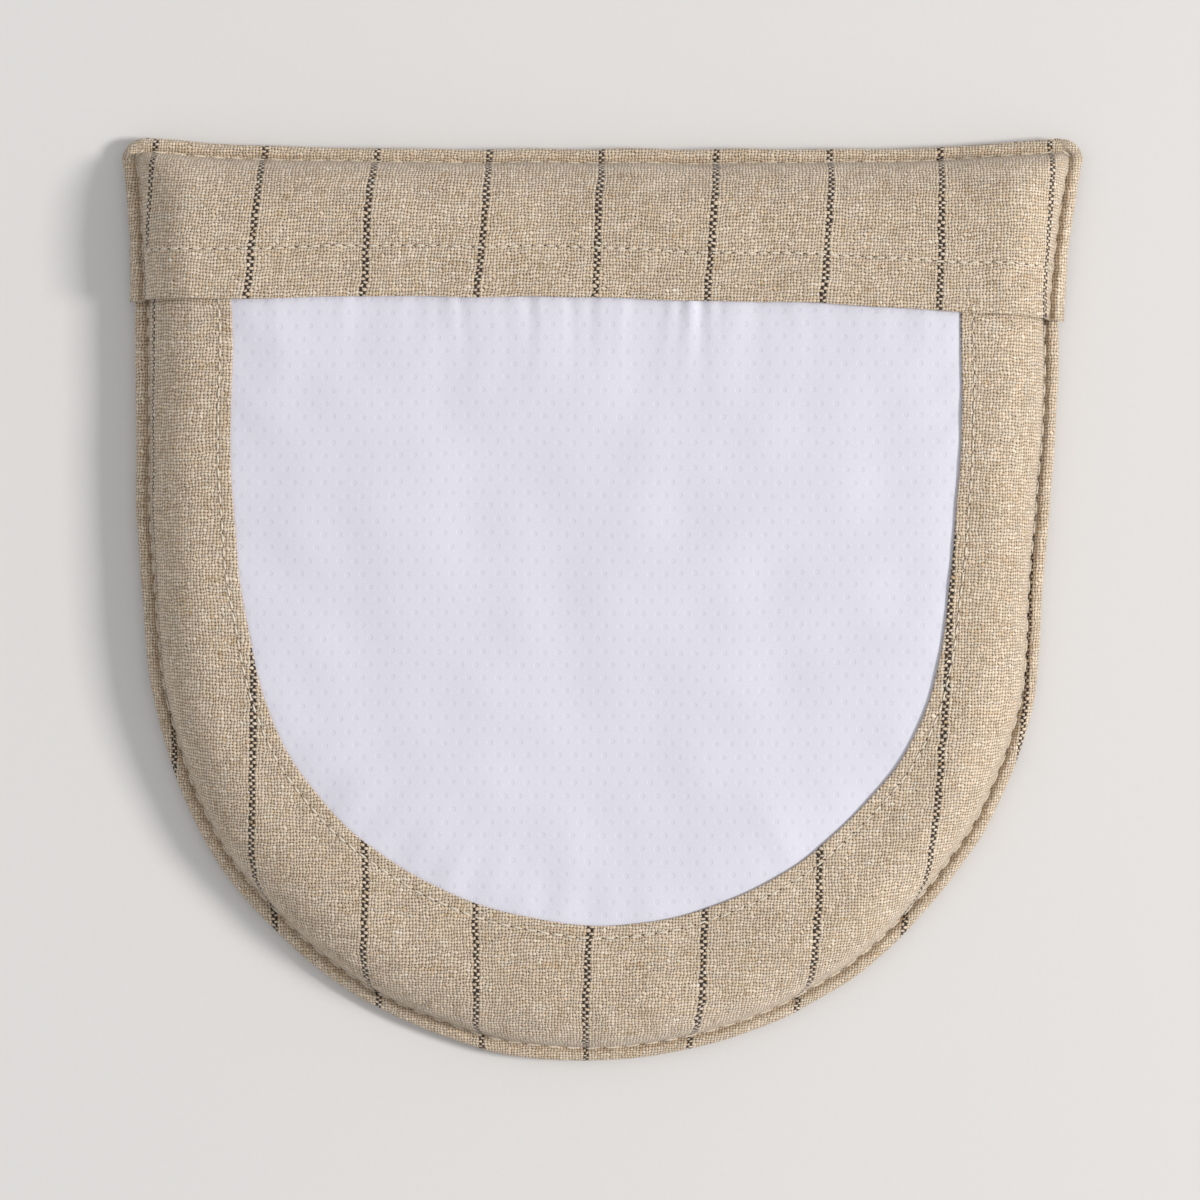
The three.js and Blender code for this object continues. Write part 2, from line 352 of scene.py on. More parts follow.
def creaseAt(x, y):
    u = np.clip((np.asarray(x, float) - latticeX[0]) / settling["step"], 1, len(latticeX) - 2.001)
    v = np.clip((np.asarray(y, float) - latticeY[0]) / settling["step"], 1, len(latticeY) - 2.001)
    i, j = u.astype(int), v.astype(int)
    across, along = roundShares(u - i), roundShares(v - j)
    total = 0
    for row in range(4):
        line = sum(frontCreases[j + row - 1, i + k - 1] * across[k] for k in range(4))
        total = total + line * along[row]
    return total


# top of the border's cloth
def borderTop(x, y, inset, along=0.0, alongWindow=0.0):
    rise = o["padZ"] - o["seamZ"] - cloth["edgeRoll"]
    z = o["seamZ"] + flangeShape(inset, along, cloth["edgePitch"])
    z = z + rise * shoulderShape(inset, o["frontShoulder"])
    out = -windowInsetOf(x, y)
    stitch = 0.7 + 0.3 * np.cos(2 * math.pi * alongWindow / cloth["windowPitch"])
    z = z + 0.20 * (1 - smooth(out, 2.6, 5.0))
    z = z - 0.38 * bump(out, o["windowStitch"], 0.5) * stitch
    # small puckers run out of both seams
    pucker = waves(along, along * 0, 9.5, 11) * smooth(inset, 3.2, 5) * (1 - smooth(inset, 5, 13))
    near = waves(alongWindow, alongWindow * 0, 8.0, 12) * smooth(out, 0, 2) * (1 - smooth(out, 2, 9))
    return z + padding(x, y) + 0.15 * pucker + 0.14 * near + 0.6 * creaseAt(x, y) * smooth(inset, 4, 9)


# top of the window's cloth
def windowTop(x, y):
    inside = windowInsetOf(x, y)
    rise = 0.45 * (1 - np.exp(-np.clip(inside, 0, None) / 3.5))
    z = o["padZ"] - 0.54 + rise - 0.5 * smooth(-inside, 0.6, 2.4)
    fromHem = np.clip(hemLine(x) - y, 0, None)
    drift = x + 1.2 * waves(x, y, 30, 20)
    gathers = ripples(drift, 5.8, 21) * (0.75 + 0.35 * waves(x, x * 0, 30, 26))
    gathers = gathers + 0.18 * ripples(drift, 3.4, 22)
    z = z + 0.22 * gathers * np.exp(-fromHem / 7) * smooth(inside, 0, 6)
    z = z + 0.12 * ripples(drift + 0.2 * fromHem, 12, 23) * np.exp(-fromHem / 20) * smooth(inside, 0, 10)
    z = z + 0.25 * np.exp(-fromHem / 12)
    angle = np.arctan2(y - windowY, x - windowX)
    edge = np.exp(-np.clip(inside, 0, None) / 7) * smooth(inside, -1, 3)
    z = z + 0.19 * waves(angle * 82, angle * 0, 10, 24) * edge
    creases = creaseAt(x, y) * (0.6 + 0.4 * smooth(inside, 0, 6) * np.exp(-fromHem / 30))
    return z + padding(x, y) + creases


# meshes


def clear(name):
    for data in (bpy.data.meshes, bpy.data.objects):
        if name in data:
            data.remove(data[name])


# a sheet from a grid of points in millimetres; cloth2d is the place on the flat cloth
def meshFromGrid(name, points, cloth2d, look, closed=False):
    rows, cols = points.shape[:2]
    clear(name)
    mesh = bpy.data.meshes.new(name)
    index = np.arange(rows * cols).reshape(rows, cols)
    if closed:
        right = np.roll(index, -1, axis=1)
        quads = np.stack([index[:-1], right[:-1], right[1:], index[1:]], -1).reshape(-1, 4)
    else:
        quads = squares(index)
    mesh.from_pydata([], [], [])
    mesh.vertices.add(rows * cols)
    mesh.vertices.foreach_set("co", (points.reshape(-1, 3) * mm).astype(np.float32).ravel())
    mesh.loops.add(len(quads) * 4)
    mesh.loops.foreach_set("vertex_index", quads.astype(np.int32).ravel())
    mesh.polygons.add(len(quads))
    mesh.polygons.foreach_set("loop_start", np.arange(0, len(quads) * 4, 4, dtype=np.int32))
    layer = mesh.uv_layers.new(name="cloth")
    flat = cloth2d.reshape(-1, 2)[quads.ravel()] * mm
    layer.data.foreach_set("uv", flat.astype(np.float32).ravel())
    mesh.update(calc_edges=True)
    mesh.validate()
    mesh.polygons.foreach_set("use_smooth", np.ones(len(mesh.polygons), bool))
    mesh.materials.append(look)
    piece = bpy.data.objects.new(name, mesh)
    bpy.context.scene.collection.objects.link(piece)
    return piece


joinReach = 0.004  # mm


# joins doubled points, and turns the faces of a closed shape out
def joinPoints(mesh, join, closed):
    shape = bmesh.new()
    shape.from_mesh(mesh)
    bmesh.ops.remove_doubles(shape, verts=shape.verts, dist=join * mm)
    bmesh.ops.dissolve_degenerate(shape, edges=shape.edges, dist=join * mm / 4)
    loose = [edge for edge in shape.edges if not edge.link_faces]
    bmesh.ops.delete(shape, geom=loose, context="EDGES")
    if closed:
        bmesh.ops.recalc_face_normals(shape, faces=shape.faces)
    shape.to_mesh(mesh)
    shape.free()


# applies the modifiers
def settle(piece, join=joinReach):
    graph = bpy.context.evaluated_depsgraph_get()
    final = piece.evaluated_get(graph)
    mesh = bpy.data.meshes.new_from_object(final, preserve_all_data_layers=True, depsgraph=graph)
    old = piece.data
    piece.modifiers.clear()
    piece.data = mesh
    bpy.data.meshes.remove(old)
    mesh.name = piece.name
    joinPoints(mesh, join, True)
    for face in mesh.polygons:
        face.use_smooth = True
    return piece


# gives a sheet its thickness, on its lower side
def thicken(piece, thickness):
    joinPoints(piece.data, joinReach, False)
    solid = piece.modifiers.new("thickness", "SOLIDIFY")
    solid.thickness = thickness * mm
    solid.offset = -1
    solid.use_even_offset = False
    return settle(piece)


# materials, and a shorthand for their trees of nodes
class Nodes:
    def __init__(self, tree):
        self.tree = tree

    def add(self, kind, values=(), **settings):
        node = self.tree.nodes.new(kind)
        for key, value in settings.items():
            setattr(node, key, value)
        for key, value in dict(values).items():
            self.put(node.inputs[key], value)
        return node

    def put(self, socket, value):
        if isinstance(value, bpy.types.NodeSocket):
            self.tree.links.new(value, socket)
        else:
            socket.default_value = value

    def math(self, operation, *values, clamp=False):
        node = self.tree.nodes.new("ShaderNodeMath")
        node.operation = operation
        node.use_clamp = clamp
        for socket, value in zip(node.inputs, values):
            self.put(socket, value)
        return node.outputs[0]

    def vector(self, x, y, z=0.0):
        return self.add("ShaderNodeCombineXYZ", {"X": x, "Y": y, "Z": z}).outputs[0]

    def mix(self, share, a, b, blend="MIX"):
        node = self.tree.nodes.new("ShaderNodeMix")
        node.data_type = "RGBA"
        node.blend_type = blend
        self.put(node.inputs[0], share)
        self.put(node.inputs[6], a)
        self.put(node.inputs[7], b)
        return node.outputs[2]

    def noise(self, vector, scale, detail=2.0, rough=0.5):
        node = self.add("ShaderNodeTexNoise", {"Scale": scale, "Detail": detail, "Roughness": rough})
        self.put(node.inputs["Vector"], vector)
        return node.outputs[0]

    def span(self, value, low, high, toLow=0.0, toHigh=1.0):
        ends = {"From Min": low, "From Max": high, "To Min": toLow, "To Max": toHigh}
        node = self.add("ShaderNodeMapRange", ends)
        self.put(node.inputs["Value"], value)
        return node.outputs[0]


def newLook(name):
    clearLook = bpy.data.materials.get(name)
    if clearLook:
        bpy.data.materials.remove(clearLook)
    look = bpy.data.materials.new(name)
    look.use_nodes = True
    look.node_tree.nodes.clear()
    n = Nodes(look.node_tree)
    shader = n.add("ShaderNodeBsdfPrincipled")
    out = n.add("ShaderNodeOutputMaterial")
    look.node_tree.links.new(shader.outputs[0], out.inputs["Surface"])
    return look, n, shader


def clothPlace(n):
    place = n.add("ShaderNodeUVMap", uv_map="cloth").outputs[0]
    split = n.add("ShaderNodeSeparateXYZ", {"Vector": place})
    return place, split.outputs[0], split.outputs[1]


linen = {
    "yarn": 0.73,  # mm from one yarn to the next
    "stripeEvery": 35,  # yarns
    "wander": 1.5,  # how far the yarns stray from a straight line
    "thin": 0.32,  # half a yarn's width, as a share of its place
    "thick": 0.47,
    "base": (0.765, 0.615, 0.455, 1),
    "pale": (0.880, 0.785, 0.645, 1),
    "tan": (0.560, 0.375, 0.190, 1),
    "stripe": (0.030, 0.022, 0.018, 1),
    # painted shade in the gaps between the yarns and down their low flanks
    "hole": (0.085, 0.048, 0.021, 1),
    "worn": (0.86, 0.84, 0.80, 1),  # the slow clouds in its colour
    "rough": 0.93,
    "relief": 0.00030,  # m
}


# height, which yarn is on top, and the yarns' numbers, of an over-and-under weave
def plainWeave(n, u, v, yarn):
    place = n.vector(u, v)
    apart = n.add("ShaderNodeVectorMath", {0: place, 1: (3.1, 7.7, 0)}).outputs[0]
    fine = n.math("MULTIPLY", n.math("SUBTRACT", n.noise(place, 620, 1.0), 0.5), 0.75)
    strayU = n.math("ADD", n.math("SUBTRACT", n.noise(place, 170, 2.0), 0.5), fine)
    strayV = n.math("SUBTRACT", n.math("SUBTRACT", n.noise(apart, 170, 2.0), 0.5), fine)
    p = n.math("ADD", n.math("DIVIDE", u, yarn), n.math("MULTIPLY", strayU, linen["wander"]))
    q = n.math("ADD", n.math("DIVIDE", v, yarn), n.math("MULTIPLY", strayV, linen["wander"]))
    i, j = n.math("FLOOR", p), n.math("FLOOR", q)
    fp = n.math("SUBTRACT", n.math("SUBTRACT", p, i), 0.5)
    fq = n.math("SUBTRACT", n.math("SUBTRACT", q, j), 0.5)
    # each yarn has its own thickness, which changes slowly along it
    warpSlub = n.noise(n.vector(n.math("MULTIPLY", i, 3.7), n.math("MULTIPLY", q, 0.09)), 1.0, 3.0, 0.6)
    weftSlub = n.noise(n.vector(n.math("MULTIPLY", p, 0.09), n.math("MULTIPLY", j, 3.7), 5.0), 1.0, 3.0, 0.6)
    warpHalf = n.span(warpSlub, 0.3, 0.7, linen["thin"], linen["thick"])
    weftHalf = n.span(weftSlub, 0.3, 0.7, linen["thin"], linen["thick"])

    # a round yarn that rises and dips
    def yarnHeight(across, half, along, number, sign):
        part = n.math("DIVIDE", across, half)
        left = n.math("SUBTRACT", 1.0, n.math("MULTIPLY", part, part))
        profile = n.math("SQRT", n.math("MAXIMUM", left, 0.0))
        angle = n.math("MULTIPLY", n.math("ADD", n.math("SUBTRACT", along, 0.5), number), math.pi)
        dip = n.math("MULTIPLY", n.math("COSINE", angle), 0.42 * sign)
        return n.math("ADD", n.math("MULTIPLY", profile, 0.75), dip)

    warp = yarnHeight(fp, warpHalf, q, i, 1)
    weft = yarnHeight(fq, weftHalf, p, j, -1)
    onTop = n.math("GREATER_THAN", warp, weft)
    height = n.math("MAXIMUM", n.math("MAXIMUM", warp, weft), 0.0)
    return {"height": height, "warpOnTop": onTop, "warp": i, "weft": j, "p": p, "q": q}


def linenLook():
    look, n, shader = newLook("stripedLinen")
    place, u, v = clothPlace(n)
    w = plainWeave(n, u, v, linen["yarn"] * mm)
    alongWarp = n.vector(n.math("MULTIPLY", w["warp"], 1.91), n.math("MULTIPLY", w["q"], 0.13), 9.0)
    alongWeft = n.vector(n.math("MULTIPLY", w["p"], 0.11), n.math("MULTIPLY", w["weft"], 1.73), 2.0)
    warpTint = n.noise(alongWarp, 1.0, 4.0, 0.65)
    weftTint = n.noise(alongWeft, 1.0, 4.0, 0.65)
    tint = n.mix(w["warpOnTop"], weftTint, warpTint)
    tint = n.add("ShaderNodeSeparateColor", {0: tint}).outputs[0]
    pale = n.mix(n.span(tint, 0.50, 0.72), linen["base"], linen["pale"])
    colour = n.mix(n.span(tint, 0.46, 0.26), pale, linen["tan"])
    fleck = n.noise(place, 900, 2.0, 0.7)
    colour = n.mix(n.span(fleck, 0.66, 0.74), colour, linen["tan"])
    # no two crossings are quite as bright
    crossing = n.add("ShaderNodeTexWhiteNoise", {"Vector": n.vector(w["warp"], w["weft"])}).outputs[0]
    shade = n.span(crossing, 0.0, 1.0, 0.80, 1.10)
    colour = n.mix(1.0, colour, n.vector(shade, shade, shade), "MULTIPLY")
    # two dark warp yarns side by side make each stripe
    number = n.math("FLOORED_MODULO", n.math("ADD", w["warp"], 1.0), float(linen["stripeEvery"]))
    striped = n.math("MULTIPLY", n.math("LESS_THAN", number, 1.5), w["warpOnTop"])
    colour = n.mix(striped, colour, linen["stripe"])
    # painted shade: the lower a place lies in the weave, the darker it is painted, down the yarns' flanks
    # into the gaps
    gapShadeShare = n.span(w["height"], 0.05, 0.92, 0.0, 1.0)
    colour = n.mix(gapShadeShare, linen["hole"], colour)
    clouds = n.noise(place, 28, 3.0, 0.6)
    worn = n.mix(n.span(clouds, 0.3, 0.7), linen["worn"], (1, 1, 1, 1))
    colour = n.mix(0.5, colour, worn, "MULTIPLY")
    n.put(shader.inputs["Base Color"], colour)
    shader.inputs["Roughness"].default_value = linen["rough"]
    shader.inputs["Sheen Weight"].default_value = 0.25
    shader.inputs["Sheen Roughness"].default_value = 0.6
    shader.inputs["Specular IOR Level"].default_value = 0.2
    fuzz = n.noise(place, 5200, 2.0, 0.6)
    relief = n.math("ADD", w["height"], n.math("MULTIPLY", fuzz, 0.25))
    bumpNode = n.add("ShaderNodeBump", {"Strength": 0.75, "Distance": linen["relief"], "Height": relief})
    n.put(shader.inputs["Normal"], bumpNode.outputs[0])
    return look


satin = {
    "base": (0.745, 0.735, 0.815, 1),
    "shade": (0.665, 0.655, 0.745, 1),
    "dotEvery": 3.4,  # mm across, and so much more along
    "dotRows": 1.732,
    "dot": 0.62,
    "twill": 0.42,
    "rough": 0.55,
}


def satinLook():
    look, n, shader = newLook("dottedSatin")
    _, u, v = clothPlace(n)

    # distance in mm from the nearest point of a grid of dots
    def grid(shift):
        step = satin["dotEvery"] * mm
        x = n.math("DIVIDE", n.math("ADD", u, shift * step / 2), step)
        y = n.math("DIVIDE", n.math("ADD", v, shift * step * satin["dotRows"] / 2), step * satin["dotRows"])
        fx = n.math("SUBTRACT", n.math("FRACT", x), 0.5)
        fy = n.math("SUBTRACT", n.math("FRACT", y), 0.5)
        fx = n.math("MULTIPLY", fx, satin["dotEvery"])
        fy = n.math("MULTIPLY", fy, satin["dotEvery"] * satin["dotRows"])
        return n.math("SQRT", n.math("ADD", n.math("MULTIPLY", fx, fx), n.math("MULTIPLY", fy, fy)))

    near = n.math("MINIMUM", grid(0), grid(1))
    dot = n.span(near, satin["dot"] * 0.75, satin["dot"] * 1.15, 1.0, 0.0)
    ring = n.math("MULTIPLY", dot, n.span(near, satin["dot"] * 0.1, satin["dot"] * 0.7, 0.35, 1.0))
    lines = n.math("DIVIDE", n.math("ADD", u, n.math("MULTIPLY", v, 1.5)), satin["twill"] * mm)
    soft = n.math("MULTIPLY", n.math("SINE", n.math("MULTIPLY", lines, 2 * math.pi)), 0.5)
    yarns = n.noise(n.vector(n.math("MULTIPLY", u, 0.35), v), 2600, 2.0, 0.6)
    uneven = n.math("MULTIPLY", n.math("SUBTRACT", yarns, 0.5), 0.9)
    tone = n.math("ADD", n.math("MULTIPLY", soft, 0.22), uneven)
    share = n.math("ADD", n.math("MULTIPLY", ring, 0.42), tone, clamp=True)
    n.put(shader.inputs["Base Color"], n.mix(share, satin["base"], satin["shade"]))
    shader.inputs["Roughness"].default_value = satin["rough"]
    shader.inputs["Sheen Weight"].default_value = 0.15
    shader.inputs["Specular IOR Level"].default_value = 0.35
    height = n.math("SUBTRACT", n.math("MULTIPLY", soft, 0.35), n.math("MULTIPLY", dot, 0.9))
    height = n.math("ADD", height, n.math("MULTIPLY", yarns, 0.6))
    bumpNode = n.add("ShaderNodeBump", {"Strength": 0.5, "Distance": 0.0001, "Height": height})
    n.put(shader.inputs["Normal"], bumpNode.outputs[0])
    return look


def threadLook(name, colour, dark):
    look, n, shader = newLook(name)
    place = n.add("ShaderNodeTexCoord").outputs["Object"]
    twist = n.noise(place, 4200, 2.0, 0.6)
    n.put(shader.inputs["Base Color"], n.mix(n.span(twist, 0.35, 0.65), dark, colour))
    shader.inputs["Roughness"].default_value = 0.75
    shader.inputs["Sheen Weight"].default_value = 0.2
    bumpNode = n.add("ShaderNodeBump", {"Strength": 0.6, "Distance": 0.00006, "Height": twist})
    n.put(shader.inputs["Normal"], bumpNode.outputs[0])
    return look


cotton = {
    "yarn": 0.5,  # mm
    "light": (0.79, 0.76, 0.69, 1),
    "shade": (0.70, 0.665, 0.59, 1),
    # painted shade in the gaps between the yarns
    "hole": (0.42, 0.38, 0.31, 1),
}


def liningLook():
    look, n, shader = newLook("cottonLining")
    place, u, v = clothPlace(n)
    w = plainWeave(n, u, v, cotton["yarn"] * mm)
    clouds = n.noise(place, 60, 3.0, 0.6)
    base = n.mix(n.span(clouds, 0.3, 0.7), cotton["shade"], cotton["light"])
    # painted shade: the low places of the weave are painted darker
    n.put(shader.inputs["Base Color"], n.mix(n.span(w["height"], 0.1, 0.7), cotton["hole"], base))
    shader.inputs["Roughness"].default_value = 0.9
    shader.inputs["Sheen Weight"].default_value = 0.2
    bumpNode = n.add("ShaderNodeBump", {"Strength": 0.6, "Distance": 0.00015, "Height": w["height"]})
    n.put(shader.inputs["Normal"], bumpNode.outputs[0])
    return look


wadding = {
    "light": (0.86, 0.85, 0.81, 1),
    "shade": (0.62, 0.60, 0.55, 1),
}


def waddingLook():
    look, n, shader = newLook("waddingFibre")
    place = n.add("ShaderNodeTexCoord").outputs["Object"]
    fibres = n.noise(place, 1500, 5.0, 0.75)
    tufts = n.noise(place, 160, 3.0, 0.6)
    mixed = n.math("ADD", n.math("MULTIPLY", fibres, 0.6), n.math("MULTIPLY", tufts, 0.4))
    n.put(shader.inputs["Base Color"], n.mix(n.span(mixed, 0.35, 0.65), wadding["shade"], wadding["light"]))
    shader.inputs["Roughness"].default_value = 1.0
    shader.inputs["Sheen Weight"].default_value = 0.4
    bumpNode = n.add("ShaderNodeBump", {"Strength": 0.8, "Distance": 0.0005, "Height": mixed})
    n.put(shader.inputs["Normal"], bumpNode.outputs[0])
    return look


stripedLinen = linenLook()
dottedSatin = satinLook()
creamThread = threadLook("creamThread", (0.84, 0.77, 0.64, 1), (0.60, 0.51, 0.39, 1))
# the needle holes are drawn as small dark shapes: painted shade in the holes
needleHoleShade = threadLook("needleHoleShade", (0.10, 0.06, 0.035, 1), (0.045, 0.028, 0.018, 1))
cottonLining = liningLook()
waddingFibre = waddingLook()
print("materials made")


# the flat cloth under each piece, for its weave and stripes
grain = {
    "borderPhase": -3.1,  # mm, where a stripe crosses
    "borderLeanLeft": 0.008,  # how far it leans, across over along
    "borderLeanRight": 0.068,
    "leanFrom": -74.0,  # where the leaning stripes cross their places
    "straightenFrom": 5.0,  # above here the right ones straighten
    "straighten": 0.6,
    "cuffPhase": -0.1,
    "cuffLeanLeft": 0.125,
    "cuffLeanRight": 0.012,
    "shoulderSlack": 1.0,  # share of the shoulder's length that the weave follows
}


# how much further the edge is along the cloth than straight across, for places out from the level part
def shoulderCloth():
    inset = np.arange(0, level + 3, 0.05)
    rise = o["padZ"] - o["seamZ"] - cloth["edgeRoll"]
    z = flangeShape(inset, 0.25, 1) + rise * shoulderShape(inset, o["frontShoulder"])
    longer = np.hypot(np.diff(inset), np.diff(z)) - np.diff(inset)
    return inset, grain["shoulderSlack"] * np.append(np.cumsum(longer[::-1])[::-1], 0)


slackInsets, slackLengths = shoulderCloth()
print("cloth over the shoulder:", slackLengths[0].round(2), "mm longer")


def slack(inset):
    return np.interp(inset, slackInsets, slackLengths)


def borderCloth(x, y):
    share = np.clip((x + 105) / 210, 0, 1)
    leaning = grain["borderLeanLeft"] + (grain["borderLeanRight"] - grain["borderLeanLeft"]) * share
    rise = y - grain["straighten"] * share * np.clip(y - grain["straightenFrom"], 0, None)
    u = x - grain["borderPhase"] - leaning * (rise - grain["leanFrom"])
    inset = insetOf(x, y)
    outX = np.where(y < endY, (x + o["lean"]) / o["endRadius"], np.sign(x))
    outY = np.where(y < endY, (y - endY) / o["endRadius"], 0)
    return np.stack([u + outX * slack(inset), y + outY * slack(inset)], -1)


def cuffCloth(x, y, sideInset, topInset):
    share = np.clip((x + 109) / 218, 0, 1)
    leaning = grain["cuffLeanLeft"] + (grain["cuffLeanRight"] - grain["cuffLeanLeft"]) * share
    u = x - grain["cuffPhase"] + leaning * (top - 3 - y)
    u = u + np.sign(x) * slack(sideInset) * 0.8
    return np.stack([u, y + slack(topInset)], -1)


# front pad: border, window, wadding and lining, with rows of points that are close at the rolls and seams
seamInsets = [0, 0.03, 0.12, 0.28, 0.5, 0.8, 1.15, 1.55, 2.0, 2.4, 2.75, 3.1, 3.45, 3.8, 4.3]
edgeInsets = seamInsets + [4.9, 5.6, 6.4, 7.4, 8.6, 10.0, 11.6, 13.4]
windowMargins = [4.4, 3.9, 3.5, 3.15, 2.8, 2.45, 2.1, 1.6, 1.1, 0.7]
foldRadius = 0.33
clothThick = 0.3
sideSteps, endSteps = 112, 430
endDrops = (0.97, 0.7, 0.35, 0.1)  # shares of the way down to the lining at the pocket's mouth
innermost = 0.96  # how far the rings of points shrink towards the middle
layers = {
    "wadding": 3.0,
    "lining": 0.8,
    "pocket": 5.2,  # height of the hand's room
    "low": 1.0,  # underside of the back's wadding
    "backRise": 2.0,  # how far it comes up at the edge
    "edgeTop": 1.9,  # top of the front's wadding at the edge
    "frontRise": 11.9,  # how far it comes up in the middle
    "squeezed": 1.6,  # what the layers take up at the edge
}


# heights of the pad's inner layers at a place
def layerHeights(x, y):
    inset = insetOf(x, y)
    down = np.clip(inset - o["flange"], 0, None)
    sunk = 1 - np.sin(np.clip(down / o["backShoulder"], 0, 1) * math.pi / 2)
    low = layers["low"] + layers["backRise"] * sunk
    raised = np.sin(np.clip(down / o["frontShoulder"], 0, 1) * math.pi / 2)
    high = layers["edgeTop"] + layers["frontRise"] * raised
    room = layers["edgeTop"] + layers["frontRise"] - layers["low"] - layers["squeezed"]
    share = np.clip((high - low - layers["squeezed"]) / room, 0, 1)
    floor = low + layers["wadding"] * share + layers["lining"]
    roof = floor + layers["pocket"] * share
    upper = roof + layers["lining"]
    return {
        "backWadding": low, "backWaddingTop": low + layers["wadding"] * share, "backLining": floor,
        "frontLining": roof, "frontWadding": upper, "frontWaddingTop": upper + layers["wadding"] * share,
    }


def borderGrid():
    fromY = mouthY
    edges = [padLine(d, fromY, sideSteps, endSteps) for d in edgeInsets]
    wins = [windowLine(e, fromY, sideSteps, endSteps) for e in windowMargins]
    middle = [edges[-1] * (1 - t) + wins[0] * t for t in (0.33, 0.67)]
    plan = np.array(edges + middle + wins)
    alongEdge = lengths(padLine(o["edgeStitch"], fromY, sideSteps, endSteps))
    alongWindow = lengths(windowLine(o["windowStitch"], fromY, sideSteps, endSteps))
    x, y = plan[..., 0], plan[..., 1]
    edgeInset = [np.full(len(alongEdge), d) for d in edgeInsets]
    inset = np.array(edgeInset + [insetOf(*line.T) for line in middle + wins])
    z = borderTop(x, y, inset, pitched(alongEdge, "edgePitch"), pitched(alongWindow, "windowPitch"))
    points = np.stack([x, y, z], -1)
    flat = borderCloth(x, y)

    # the inner edge is folded under
    line = windowLine(foldRadius, fromY, sideSteps, endSteps)
    crest = borderTop(*line.T, insetOf(*line.T), 0, pitched(alongWindow, "windowPitch"))
    rows, flats = [], []
    for turn in np.radians([90, 120, 150, 180, 210, 240, 270]):
        margin = foldRadius + foldRadius * math.cos(turn)
        edge = windowLine(margin, fromY, sideSteps, endSteps)
        height = crest - foldRadius + foldRadius * math.sin(turn)
        rows.append(np.column_stack([edge, height]))
        turned = foldRadius - foldRadius * (turn - math.pi / 2)
        flats.append(borderCloth(*windowLine(turned, fromY, sideSteps, endSteps).T))
    for margin in (1.1, 2.0, 2.45, 2.8, 3.15, 3.6, 4.4, 5.4):
        edge = windowLine(margin, fromY, sideSteps, endSteps)
        over = borderTop(*edge.T, insetOf(*edge.T), edgeBetween, pitched(alongWindow, "windowPitch"))
        rows.append(np.column_stack([edge, over - 2 * foldRadius - 0.05]))
        flats.append(borderCloth(*windowLine(-margin - 1.0, fromY, sideSteps, endSteps).T))
    return np.concatenate([points, np.array(rows)]), np.concatenate([flat, np.array(flats)])


# lengths along a seam, stretched a little so that whole stitches fit
def pitched(along, key):
    total = along[-1]
    count = max(1, round(total / cloth[key]))
    return along * (count * cloth[key] / total)


# the border's two ends go down at the pocket's mouth
def turnedEnds(points, flat):
    heads, headFlats = [], []
    for drop in endDrops:
        pair, pairFlat = [], []
        for end in (0, -1):
            column = points[:, end].copy()
            lining = layerHeights(column[:, 0], column[:, 1])["frontLining"] + 0.6
            room = np.clip(column[:, 2] - lining, 0, None)
            column[:, 2] -= drop * room
            column[:, 1] += 0.9 * math.cos(math.asin(min(1, 1 - drop)))
            pair.append(column)
            shifted = flat[:, end].copy()
            shifted[:, 1] += drop * 4 + 0.5
            pairFlat.append(shifted)
        heads.append(pair)
        headFlats.append(pairFlat)
    first = np.stack([h[0] for h in heads], 1)
    last = np.stack([h[1] for h in heads[::-1]], 1)
    firstFlat = np.stack([h[0] for h in headFlats], 1)
    lastFlat = np.stack([h[1] for h in headFlats[::-1]], 1)
    return np.concatenate([first, points, last], 1), np.concatenate([firstFlat, flat, lastFlat], 1)


borderPoints, borderFlat = turnedEnds(*borderGrid())
frontBorder = meshFromGrid("frontBorder", sway(borderPoints), borderFlat, stripedLinen)
thicken(frontBorder, clothThick)
print("border made:", len(frontBorder.data.polygons), "faces")


# rings of places from the outline of the window or pad, with its straight top, to the middle
def frontRings(margin, rings, sides=112, ends=400, across=200, fromInset=None):
    if fromInset is None:
        line = windowLine(margin, mouthY, sides, ends)
    else:
        line = padLine(fromInset, mouthY, sides, ends)
    share = np.linspace(0, 1, across + 2)[1:-1, None]
    closing = line[-1] + (line[0] - line[-1]) * share
    ring = np.vstack([line, closing])
    centre = np.array([ring[:, 0].mean(), 5.0])
    scale = 1 - np.arange(rings) / (rings - 1) * innermost
    plan = centre + (ring - centre) * scale[:, None, None]
    return plan, len(line)


def windowGrid():
    plan, sideCount = frontRings(3.3, 54)
    x, y = plan[..., 0], plan[..., 1]
    points = np.stack([x, y, windowTop(x, y)], -1)
    flat = np.stack([x, y], -1)
    onMouth = np.zeros(points.shape[1])
    onMouth[sideCount:] = 1
    heads, headFlats = [], []
    for drop in endDrops:
        row = points[0].copy()
        room = row[:, 2] - layerHeights(row[:, 0], row[:, 1])["frontLining"] - 0.6
        row[:, 2] -= drop * np.where(onMouth > 0, room, 0.12)
        row[:, 1] += 0.9 * math.cos(math.asin(1 - drop)) * onMouth
        heads.append(row)
        shifted = flat[0].copy()
        shifted[:, 1] += (drop * 4 + 0.5) * onMouth
        headFlats.append(shifted)
    return np.concatenate([np.array(heads), points]), np.concatenate([np.array(headFlats), flat])


# adds a last ring that is one point
def closeMiddle(points, flat):
    middle = points[-1].mean(0)
    middleFlat = flat[-1].mean(0)
    return (
        np.concatenate([points, np.broadcast_to(middle, (1, points.shape[1], 3))]),
        np.concatenate([flat, np.broadcast_to(middleFlat, (1, points.shape[1], 2))]),
    )


windowPoints, windowFlat = closeMiddle(*windowGrid())
windowCloth = meshFromGrid("windowCloth", sway(windowPoints), windowFlat, dottedSatin, closed=True)
thicken(windowCloth, clothThick)
print("window made:", len(windowCloth.data.polygons), "faces")


